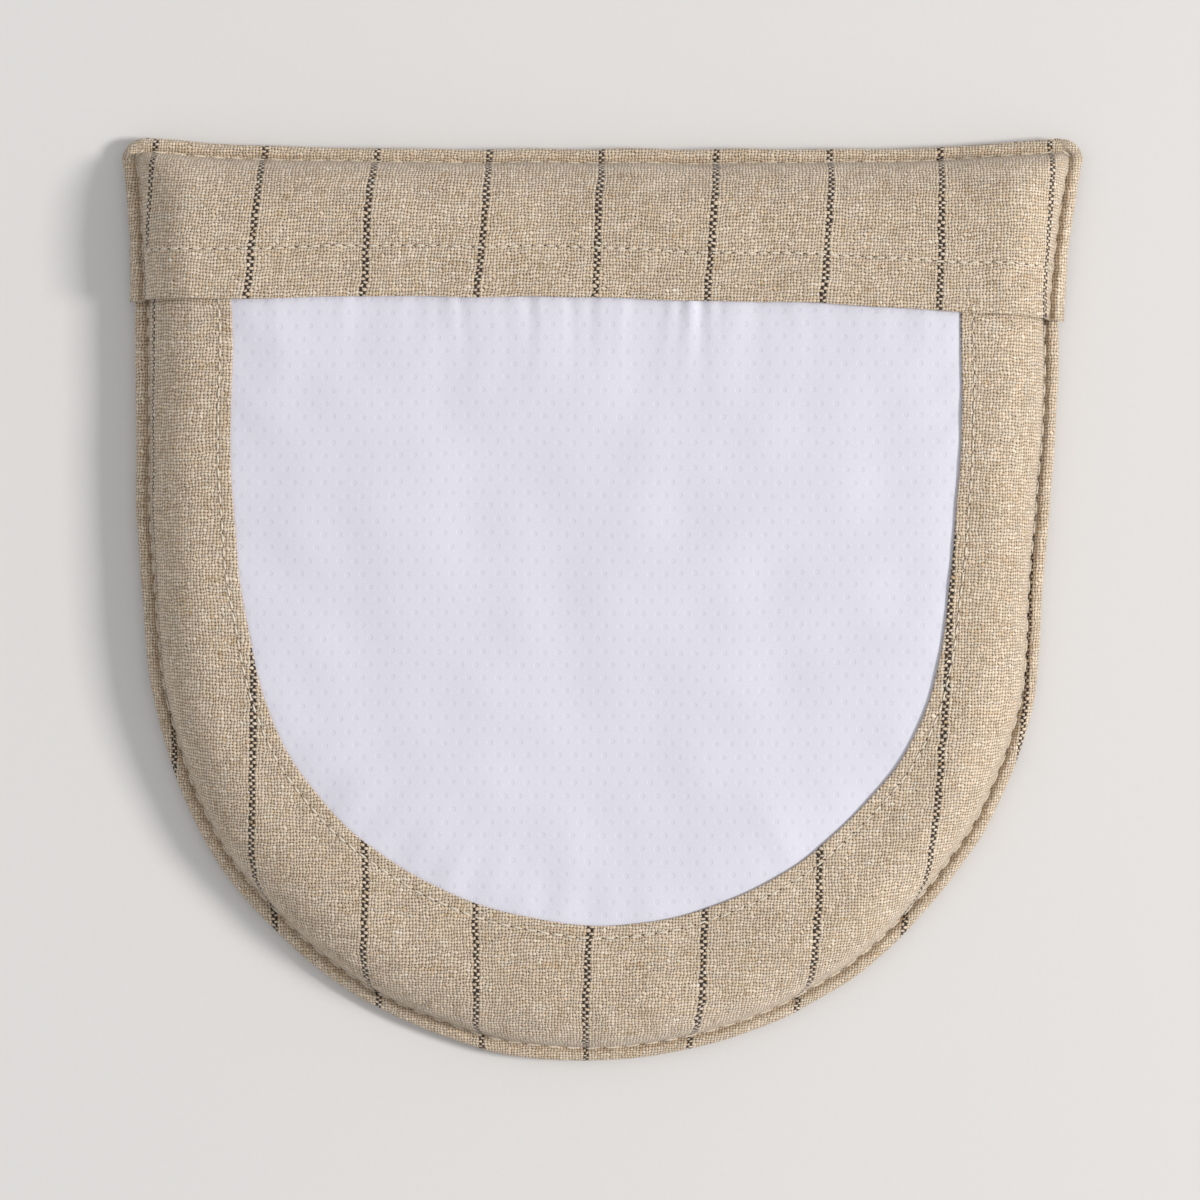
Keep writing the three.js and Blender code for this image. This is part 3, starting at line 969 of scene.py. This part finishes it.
# a closed layer between two of the pad's inner heights
def closedPad(name, lowKey, highKey, inset, look, front, rings=26):
    if front:
        plan, _ = frontRings(0, rings, 40, 120, 70, fromInset=inset)
    else:
        plan = wholeRings(inset, rings)
    x, y = plan[..., 0], plan[..., 1]
    heights = layerHeights(x, y)
    lift = padding(x, y) if front else 0
    high = heights[highKey] + lift
    low = heights[lowKey] + lift if isinstance(lowKey, str) else high - lowKey
    uneven = 0.12 * waves(x, y, 15, 41) + 0.08 * waves(x, y, 6, 42)
    over = np.stack([x, y, high + uneven * 0.6], -1)
    under = np.stack([x, y, low + uneven * 0.6], -1)[::-1]
    flat = np.stack([x, y], -1)
    middleOver, middleUnder = over[-1].mean(0), under[0].mean(0)
    count = plan.shape[1]
    points = np.concatenate([
        np.broadcast_to(middleUnder, (1, count, 3)), under, over, np.broadcast_to(middleOver, (1, count, 3)),
    ])
    middleFlat = np.broadcast_to(flat[-1].mean(0), (1, count, 2))
    flats = np.concatenate([middleFlat, flat[::-1], flat, middleFlat])
    piece = meshFromGrid(name, sway(points), flats, look, closed=True)
    return settle(piece)


# the whole outline of the mitt, anticlockwise from the left ear
def wholeOutline(inset, step=0.0, sides=70, ends=240, ears=10, tops=150):
    radius = max(o["earRadius"] - inset, 0.6)
    y = top - inset - radius
    pad = padLine(inset - step, y, sides, ends)[1:-1]
    corner = float(sideX(1, y, inset - step)) - radius
    angle = np.linspace(0, math.pi / 2, ears, endpoint=False)
    right = np.stack([corner + radius * np.cos(angle), y + radius * np.sin(angle)], 1)
    x = corner * np.cos(np.linspace(0, math.pi, tops))
    edge = np.stack([x, top - inset - topDip(x, corner)], 1)
    angle = math.pi / 2 + angle
    left = np.stack([-corner + radius * np.cos(angle), y + radius * np.sin(angle)], 1)
    return np.vstack([pad, right, edge, left[1:]])


def topDip(x, corner):
    return o["earRise"] * (1 - np.exp(np.minimum(np.abs(x) - corner, 0) / o["earSpread"]))


def wholeRings(inset, rings):
    ring = wholeOutline(inset, 0, 40, 120, 6, 70)
    centre = np.array([-o["lean"] / 2, 0.0])
    scale = 1 - np.arange(rings) / (rings - 1) * innermost
    return centre + (ring - centre) * scale[:, None, None]


frontWadding = closedPad("frontWadding", "frontWadding", "frontWaddingTop", 7.2, waddingFibre, True)
frontLining = closedPad("frontLining", 0.5, "frontLining", 5.6, cottonLining, True)
backWadding = closedPad("backWadding", "backWadding", "backWaddingTop", 7.2, waddingFibre, False)
backLining = closedPad("backLining", 0.5, "backLining", 5.6, cottonLining, False)
print("wadding and linings made")


# back
backInsets = seamInsets + [5.0, 6.0, 7.2, 8.6, 10.2, 12, 13.6]
backRings = 40


def backGrid():
    rings = [wholeOutline(d) for d in backInsets]
    inner = rings[-1]
    centre = np.array([-o["lean"] / 2, 0.0])
    scales = 1 - np.linspace(0, innermost, backRings)[1:]
    plan = np.array(rings + [centre + (inner - centre) * s for s in scales])
    along = lengths(wholeOutline(o["edgeStitch"]))
    inset = np.array(backInsets + [backInsets[-1] + 3 * k for k in range(1, backRings)])[:, None]
    shape = flangeShape(inset, pitched(along, "edgePitch"), cloth["edgePitch"])
    rise = o["seamZ"] - cloth["edgeRoll"]
    z = o["seamZ"] - shape - rise * shoulderShape(inset, o["backShoulder"])
    pucker = waves(along, along * 0, 9.5, 51) * smooth(inset, 3.2, 5) * (1 - smooth(inset, 5, 12))
    z = np.maximum(z + 0.2 * pucker, 0.0)
    x, y = plan[..., 0], plan[..., 1]
    outX = np.sign(x) * np.clip(np.abs(x) / 100, 0, 1)
    flat = np.stack([x + 5.0 + outX * slack(inset) * 0.5, y], -1)
    points = np.stack([x, y, z + 0 * x], -1)
    return points[:, ::-1], flat[:, ::-1]


backPoints, backFlat = closeMiddle(*backGrid())
backCover = meshFromGrid("backCover", sway(backPoints), backFlat, stripedLinen, closed=True)
thicken(backCover, clothThick)
print("back made:", len(backCover.data.polygons), "faces")


# cuff
cuff = {
    "overHem": 1.4,  # mm the side seam is lifted where the cuff lies over the border
    "overPad": 1.5,
    "corner": 5.4,
    "hemRadius": 0.36,
}
sideInsets = seamInsets + [4.9, 5.6, 6.4, 7.3, 8.3, 9.5, 11, 13, 15.1]
hemInsets = [0.8, 1.4, 2.2, 3.1, 4.0, 5.0, 6.0, 7.0, 8.0, 9.0, 9.8, 10.4, 10.8, 11.2, 11.6, 12.0, 12.6]
hemInsets += [13.4, 14.4, 15.6]
topInsets = [15.6, 14.2, 12.8, 11.4, 10.0, 8.8, 7.6, 6.6, 5.8, 5.0, 4.4, 3.9, 3.5, 3.1, 2.7, 2.3, 1.9]
topInsets += [1.5, 1.1, 0.8, 0.5, 0.28, 0.12, 0.03, 0]
stitchInHem = 0.6  # how far the hem's stitching is from the end of its turn


# top of the cuff's cloth
def cuffTop(x, y, sideInset, topInset, alongEdge=0.0, alongHem=0.0):
    inset = np.minimum(sideInset, topInset)
    lift = cuff["overHem"] * smooth(sideInset, 0, 1.6)
    seam = o["seamZ"] + lift * (1 - smooth(y, mouthY - 1, mouthY + 10))
    edge = seam + flangeShape(inset, alongEdge, cloth["edgePitch"])
    rise = shoulderShape(sideInset, o["frontShoulder"]) * shoulderShape(topInset, o["frontShoulder"])
    z = edge * (1 - rise) + (o["padZ"] + cuff["overPad"]) * rise
    fromHem = y - hemLine(x)
    stitch = 0.7 + 0.3 * np.cos(2 * math.pi * alongHem / cloth["hemPitch"])
    z = z - 0.34 * bump(fromHem, o["hemTurn"] - stitchInHem, 0.55) * stitch * smooth(sideInset, 3, 5)
    gathers = waves(x, x * 0, 11, 31) * np.exp(-np.abs(fromHem - o["hemTurn"]) / 4)
    sag = waves(x, y, 34, 32) * smooth(topInset, 4, 12) * smooth(sideInset, 4, 12)
    pucker = waves(x, x * 0 + 9, 8, 33) * smooth(topInset, 3.2, 5) * (1 - smooth(topInset, 5, 12))
    z = z + 0.10 * gathers * smooth(sideInset, 4, 9) + 0.22 * (sag + 0.7) + 0.25 * pucker
    return z + padding(x, y) * smooth(topInset, 2, 18)


# x of every column at each of some heights
def cuffColumns(y):
    inner = 262
    left = sideX(-1, y)[:, None] - o["cuffStep"] + np.array(sideInsets)
    right = sideX(1, y)[:, None] + o["cuffStep"] - np.array(sideInsets)[::-1]
    share = np.linspace(0, 1, inner + 2)[1:-1]
    middle = left[:, -1:] * (1 - share) + right[:, :1] * share
    return np.concatenate([left, middle, right], 1)


# places and insets: rows given from the hem up, then rows given from the top edge
def cuffPlan(rowsFromTop, rowsFromHem):
    guess = cuffColumns(np.array([90.0]))[0]
    corner = float(sideX(1, earY, -o["cuffStep"])) - cuff["corner"]
    upper = top - topDip(guess, corner)
    ys = [hemLine(guess) + r for r in rowsFromHem]
    if rowsFromTop:
        for share in (0.33, 0.67):
            ys.append((hemLine(guess) + rowsFromHem[-1]) * (1 - share) + (upper - rowsFromTop[0]) * share)
    ys += [upper - r for r in rowsFromTop]
    y = np.array(ys)
    x = np.stack([np.diagonal(cuffColumns(np.minimum(row, earY))) for row in y])
    count = len(sideInsets)
    level = sideInsets[-1]
    fromSide = np.full(len(guess), level)
    fromSide[:count] = sideInsets
    fromSide[-count:] = sideInsets[::-1]
    inner = np.minimum(guess + 109, 109 - guess)
    fromSide = np.where(fromSide < level, fromSide, np.maximum(inner, level))
    sideInset = np.broadcast_to(fromSide, y.shape).copy()
    topInset = upper - y
    # round the two corners
    r = cuff["corner"]
    a, b = 1 - sideInset / r, 1 - topInset / r
    inCorner = (a > 0) & (b > 0)
    shrink = np.where(inCorner, np.maximum(a, b) / np.maximum(np.hypot(a, b), 1e-9), 1)
    da = np.where(inCorner, (a - a * shrink) * r, 0)
    db = np.where(inCorner, (b - b * shrink) * r, 0)
    return x - np.sign(x) * da, y - db, sideInset, topInset


def cuffGrid():
    fold = cuff["hemRadius"]
    x, y, sideInset, topInset = cuffPlan(topInsets, [fold] + hemInsets)
    alongHem = lengths(np.stack([x[14], y[14]], 1))
    z = cuffTop(x, y, sideInset, topInset, edgeBetween, pitched(alongHem, "hemPitch"))
    upper = np.stack([x, y, z], -1)
    flat = cuffCloth(x, y, sideInset, topInset)
    rows, flats = [], []
    for back in (o["hemTurn"] + 0.4, 9.0, 6.0, 3.0, 1.2):
        xb, yb, sb, tb = cuffPlan([], [back])
        zb = cuffTop(xb, yb, sb, tb, edgeBetween) - 2 * fold
        rows.append(np.stack([xb, yb, zb], -1)[0])
        flats.append(cuffCloth(xb, 2 * hemLine(xb) - yb, sb, tb)[0])
    x0, y0, s0, t0 = cuffPlan([], [fold])
    crest = cuffTop(x0, y0, s0, t0, edgeBetween)[0]
    for turn in np.radians([270, 240, 210, 180, 150, 120]):
        height = crest - fold + fold * math.sin(turn)
        rows.append(np.stack([x0[0], y0[0] + fold * math.cos(turn), height], -1))
        flats.append(cuffCloth(x0, y0 + fold * (math.pi / 2 - turn), s0, t0)[0])
    return np.concatenate([np.array(rows), upper]), np.concatenate([np.array(flats), flat])


cuffPoints, cuffFlat = cuffGrid()
cuffBand = meshFromGrid("cuffBand", sway(cuffPoints), cuffFlat, stripedLinen)
thicken(cuffBand, clothThick)
print("cuff made:", len(cuffBand.data.polygons), "faces")


# stitching
thread = {
    "share": 0.78,  # how much of each stitch shows between its two needle holes
    "width": 0.50,
    "height": 0.40,
    "rise": 0.16,  # how far it lies over the bottom of the seam
    # sizes of the dark shapes of painted shade at the needle holes
    "holeWidth": 0.55,
    "holeLength": 0.60,
    "holeHeight": 0.22,
    "holeSink": 0.04,
    "stray": 0.07,  # radians that each one is turned aside
}


# small shapes laid along a line, one to a stitch
def seamTree():
    tree = bpy.data.node_groups.new("seam", "GeometryNodeTree")
    kinds = {
        "Geometry": "Geometry", "Points": "Int", "Odd": "Int", "Length": "Float", "Width": "Float",
        "Height": "Float", "Stray": "Float", "Seed": "Int", "Material": "Material",
    }
    for name, kind in kinds.items():
        tree.interface.new_socket(name, in_out="INPUT", socket_type="NodeSocket" + kind)
    tree.interface.new_socket("Geometry", in_out="OUTPUT", socket_type="NodeSocketGeometry")
    n = Nodes(tree)
    given = n.add("NodeGroupInput").outputs
    line = n.add("GeometryNodeMeshToCurve", {0: given["Geometry"]}).outputs[0]
    even = n.add("GeometryNodeResampleCurve", {"Curve": line, "Count": given["Points"]}).outputs[0]
    ball = n.add("GeometryNodeMeshUVSphere", {"Segments": 8, "Rings": 5, "Radius": 0.5}).outputs["Mesh"]
    size = n.vector(given["Length"], given["Width"], given["Height"])
    shaped = n.add("GeometryNodeTransform", {"Geometry": ball, "Scale": size}).outputs[0]

    # each one points along the line, and is turned a little aside
    tangent = n.add("GeometryNodeInputTangent").outputs[0]
    turn = n.add("FunctionNodeAlignRotationToVector", {"Vector": tangent}, axis="X").outputs[0]
    most = n.vector(0.0, 0.0, given["Stray"])
    least = n.add("ShaderNodeVectorMath", {0: most, 1: (-1, -1, -1)}, operation="MULTIPLY").outputs[0]
    limits = {0: least, 1: most, "Seed": given["Seed"]}
    stray = n.add("FunctionNodeRandomValue", limits, data_type="FLOAT_VECTOR").outputs[0]
    aside = n.add("FunctionNodeEulerToRotation", {0: stray}).outputs[0]
    turned = n.add("FunctionNodeRotateRotation", {0: turn, 1: aside}).outputs[0]

    # threads lie at the odd points, and the needle holes' dark shapes, which are painted shade, at the even
    # ones
    parity = n.math("MODULO", n.add("GeometryNodeInputIndex").outputs[0], 2.0)
    wanted = n.math("COMPARE", parity, given["Odd"], 0.1)
    laid = n.add("GeometryNodeInstanceOnPoints", {
        "Points": even, "Selection": wanted, "Instance": shaped, "Rotation": turned,
    }).outputs[0]
    real = n.add("GeometryNodeRealizeInstances", {0: laid}).outputs[0]
    paint = n.add("GeometryNodeSetMaterial", {"Geometry": real, "Material": given["Material"]}).outputs[0]
    n.put(n.add("NodeGroupOutput").inputs[0], paint)
    return tree


seamNodes = seamTree()


# threads, and the needle holes as small dark shapes of painted shade, along a line of points in millimetres
def layStitches(name, points, pitch, closed, seed, below=False):
    total = lengths(np.vstack([points, points[:1]]) if closed else points)[-1]
    count = max(1, round(total / cloth[pitch]))
    long = total / count
    made = []
    for part, odd, size, look in (
        ("Stitches", 1, (thread["share"] * long, thread["width"], thread["height"]), creamThread),
        ("NeedleHoleShades", 0, (thread["holeLength"], thread["holeWidth"], thread["holeHeight"]), needleHoleShade),
    ):
        clear(name + part)
        mesh = bpy.data.meshes.new(name + part)
        sink = -thread["rise"] if odd else thread["holeSink"]
        sink = -sink if below else sink
        placed = points - np.array([0, 0, sink])
        edges = [(k, k + 1) for k in range(len(points) - 1)]
        edges += [(len(points) - 1, 0)] if closed else []
        mesh.from_pydata([tuple(q) for q in placed * mm], edges, [])
        piece = bpy.data.objects.new(name + part, mesh)
        bpy.context.scene.collection.objects.link(piece)
        seam = piece.modifiers.new("seam", "NODES")
        seam.node_group = seamNodes
        values = {
            "Points": 2 * count + (0 if closed else 1), "Odd": odd, "Length": size[0] * mm,
            "Width": size[1] * mm, "Height": size[2] * mm, "Stray": thread["stray"],
            "Seed": seed, "Material": look,
        }
        for socket in seamNodes.interface.items_tree:
            if socket.in_out == "INPUT" and socket.name in values:
                seam[socket.identifier] = values[socket.name]
        settle(piece, join=0.0001)
        made.append(piece)
    return made


def flatLengths(line):
    return lengths(line[:, :2])


def borderSeam():
    line = padLine(o["edgeStitch"], mouthY, sideSteps * 2, endSteps * 2)
    along = pitched(flatLengths(line), "edgePitch")
    z = borderTop(*line.T, np.full(len(line), o["edgeStitch"]), along, windowBetween)
    return np.column_stack([line, z])


def windowSeam():
    line = windowLine(o["windowStitch"], mouthY, sideSteps * 2, endSteps * 2)
    along = pitched(flatLengths(line), "windowPitch")
    z = borderTop(*line.T, insetOf(*line.T), edgeBetween, along)
    return np.column_stack([line, z])


def mouthSeam():
    x = np.linspace(windowX - windowRadius + 1, windowX + windowRadius - 1, 400)
    y = np.full(400, mouthY - 5)
    return np.column_stack([x, y, windowTop(x, y)])


def cuffHemSeam():
    x, y, sideInset, topInset = cuffPlan([], [o["hemTurn"] - stitchInHem])
    keep = sideInset[0] > 3.0
    along = pitched(lengths(np.stack([x[0], y[0]], 1)), "hemPitch")
    z = cuffTop(x, y, sideInset, topInset, edgeBetween, along)
    line = np.column_stack([x[0], y[0], z[0]])[keep]
    fine = np.linspace(0, len(line) - 1, 1600)
    return np.stack([np.interp(fine, np.arange(len(line)), line[:, k]) for k in range(3)], 1)


# the cuff's edge seam in plan, from the right end of the hem round to the left
def cuffEdgeLine():
    inset, r = o["edgeStitch"], cuff["corner"]
    corner = float(sideX(1, earY, -o["cuffStep"]))
    rise = np.linspace(float(hemLine(100.0)) + 0.6, top - r, 130)
    right = np.stack([sideX(1, rise) + o["cuffStep"] - inset, rise], 1)
    turn = np.linspace(0, math.pi / 2, 14)[1:-1]
    x = np.linspace(corner - r, r - corner, 700)
    edge = np.stack([x, top - inset - topDip(x, corner - r)], 1)
    arc = np.stack([corner - r + (r - inset) * np.cos(turn), top - r + (r - inset) * np.sin(turn)], 1)
    rise = np.linspace(float(hemLine(-100.0)) + 0.6, top - r, 130)[::-1]
    left = np.stack([sideX(-1, rise) - o["cuffStep"] + inset, rise], 1)
    return np.vstack([right, arc, edge, arc[::-1] * [-1, 1], left])


def cuffEdgeSeam():
    line = cuffEdgeLine()
    x, y = line[:, 0], line[:, 1]
    inset = np.full(len(x), o["edgeStitch"])
    seam = o["seamZ"] + cuff["overHem"] * (1 - smooth(y, mouthY - 1, mouthY + 10))
    z = seam + flangeShape(inset, pitched(lengths(line), "edgePitch"), cloth["edgePitch"])
    return np.column_stack([line, z])


def backSeam():
    line = wholeOutline(o["edgeStitch"], 0, 140, 480, 20, 300)
    along = pitched(flatLengths(line), "edgePitch")
    z = o["seamZ"] - flangeShape(np.full(len(line), o["edgeStitch"]), along, cloth["edgePitch"])
    return np.column_stack([line, z])


borderStitching = layStitches("border", sway(borderSeam()), "edgePitch", False, 3)
windowStitching = layStitches("window", sway(windowSeam()), "windowPitch", False, 4)
mouthStitching = layStitches("mouth", sway(mouthSeam()), "windowPitch", False, 5)
hemStitching = layStitches("cuffHem", sway(cuffHemSeam()), "hemPitch", False, 6)
cuffStitching = layStitches("cuffEdge", sway(cuffEdgeSeam()), "edgePitch", False, 7)
backStitching = layStitches("backEdge", sway(backSeam()), "edgePitch", True, 8, below=True)
print("stitching laid")


# camera, light and floor
studio = {
    "lens": 100,
    "sensor": 24,
    "span": 0.2727,  # m across the view at the height of the edges
    "shiftX": -0.0008,
    "shiftY": -0.0001,
    "floor": (0.745, 0.725, 0.71, 1),
    "key": 92.0,
    "fill": 2.0,
    "sky": 0.54,
}


def makeStudio():
    scene = bpy.context.scene
    eye = bpy.data.cameras.new("camera")
    eye.lens, eye.sensor_width = studio["lens"], studio["sensor"]
    camera = bpy.data.objects.new("camera", eye)
    away = studio["span"] * studio["lens"] / studio["sensor"]
    camera.location = (studio["shiftX"], studio["shiftY"], away + 0.005)
    scene.collection.objects.link(camera)
    scene.camera = camera

    def lamp(name, place, size, power, colour):
        light = bpy.data.lights.new(name, "AREA")
        light.shape, light.size, light.size_y = "RECTANGLE", size[0], size[1]
        light.energy, light.color = power, colour
        thing = bpy.data.objects.new(name, light)
        thing.location = place
        thing.rotation_euler = (Vector((0, 0, 0)) - Vector(place)).to_track_quat("-Z", "Y").to_euler()
        scene.collection.objects.link(thing)

    lamp("key", (2.8, -0.1, 1.9), (0.7, 0.7), studio["key"], (1, 0.985, 0.965))
    lamp("fill", (-0.6, 0.6, 2.0), (1.6, 1.6), studio["fill"], (0.97, 0.98, 1))

    world = bpy.data.worlds.new("studio")
    world.use_nodes = True
    world.node_tree.nodes["Background"].inputs[0].default_value = (0.97, 0.98, 1, 1)
    world.node_tree.nodes["Background"].inputs[1].default_value = studio["sky"]
    scene.world = world
    scene.view_settings.view_transform = "Standard"

    bpy.ops.mesh.primitive_plane_add(size=6, location=(0, 0, -0.0002))
    floor = bpy.context.object
    floor.name = "floor"
    look, n, shader = newLook("paper")
    place = n.add("ShaderNodeTexCoord").outputs["Object"]
    grainy = n.noise(place, 900, 3.0, 0.6)
    lighter = tuple(part * 1.012 for part in studio["floor"][:3]) + (1,)
    n.put(shader.inputs["Base Color"], n.mix(n.span(grainy, 0.3, 0.7), studio["floor"], lighter))
    shader.inputs["Roughness"].default_value = 0.8
    floor.data.materials.append(look)


makeStudio()


# reaches of each place's share of the opening, in millimetres from the sewn edge
follow = {
    "from": 4,  # the cloth stays on the back up to here
    "sideReach": 72,
    "endReach": 40,
    "cuffFrom": 3.2,
    "cuffReach": 15,
}


# each place's share of the pad's or cuff's opening: nothing at the sewn sides, all of it in the middle
def hold(x, y):
    side = np.minimum(sideX(1, y) - x, x - sideX(-1, y))
    return np.sin(np.clip((side - follow["from"]) / follow["sideReach"], 0, 1) * math.pi / 2) ** 2


def frontHold(x, y):
    return hold(x, y) * smooth(insetOf(x, y), follow["from"], follow["endReach"])


def cuffHold(x, y):
    corner = float(sideX(1, earY, -o["cuffStep"])) - cuff["corner"]
    fromTop = top - topDip(x, corner) - y
    return hold(x, y) * smooth(fromTop, follow["cuffFrom"], follow["cuffReach"])


def bendsWith(piece, weight, nodes):
    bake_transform(piece)
    co = np.zeros(len(piece.data.vertices) * 3, np.float32)
    piece.data.vertices.foreach_get("co", co)
    co = co.reshape(-1, 3) / mm
    values = weight(co[:, 0], co[:, 1]).astype(np.float32)
    if nodes:
        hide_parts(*nodes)


def staysOn(piece, nodes):
    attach(piece, "back_pad")
    if nodes:
        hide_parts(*nodes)


bendsWith(frontBorder, frontHold, ["front_frame"])
bendsWith(windowCloth, frontHold, ["window_panel"])
bendsWith(frontWadding, frontHold, ["front_batting"])
bendsWith(frontLining, frontHold, ["front_lining"])
bendsWith(cuffBand, cuffHold, ["cuff_band"])
staysOn(backCover, ["back_shell"])
staysOn(backWadding, ["back_batting"])
staysOn(backLining, ["back_lining"])
for pieces, body, weight, node in (
    (borderStitching, "front_pad", frontHold, "frame_edge_stitching"),
    (windowStitching, "front_pad", frontHold, "window_stitching"),
    (mouthStitching, "front_pad", frontHold, "mouth_stitching"),
    (hemStitching, "cuff", cuffHold, "cuff_hem_stitching"),
    (cuffStitching, "cuff", cuffHold, "cuff_edge_stitching"),
):
    bendsWith(pieces[0], weight, [node])
    bendsWith(pieces[1], weight, [])
staysOn(backStitching[0], ["back_edge_stitching"])
staysOn(backStitching[1], [])
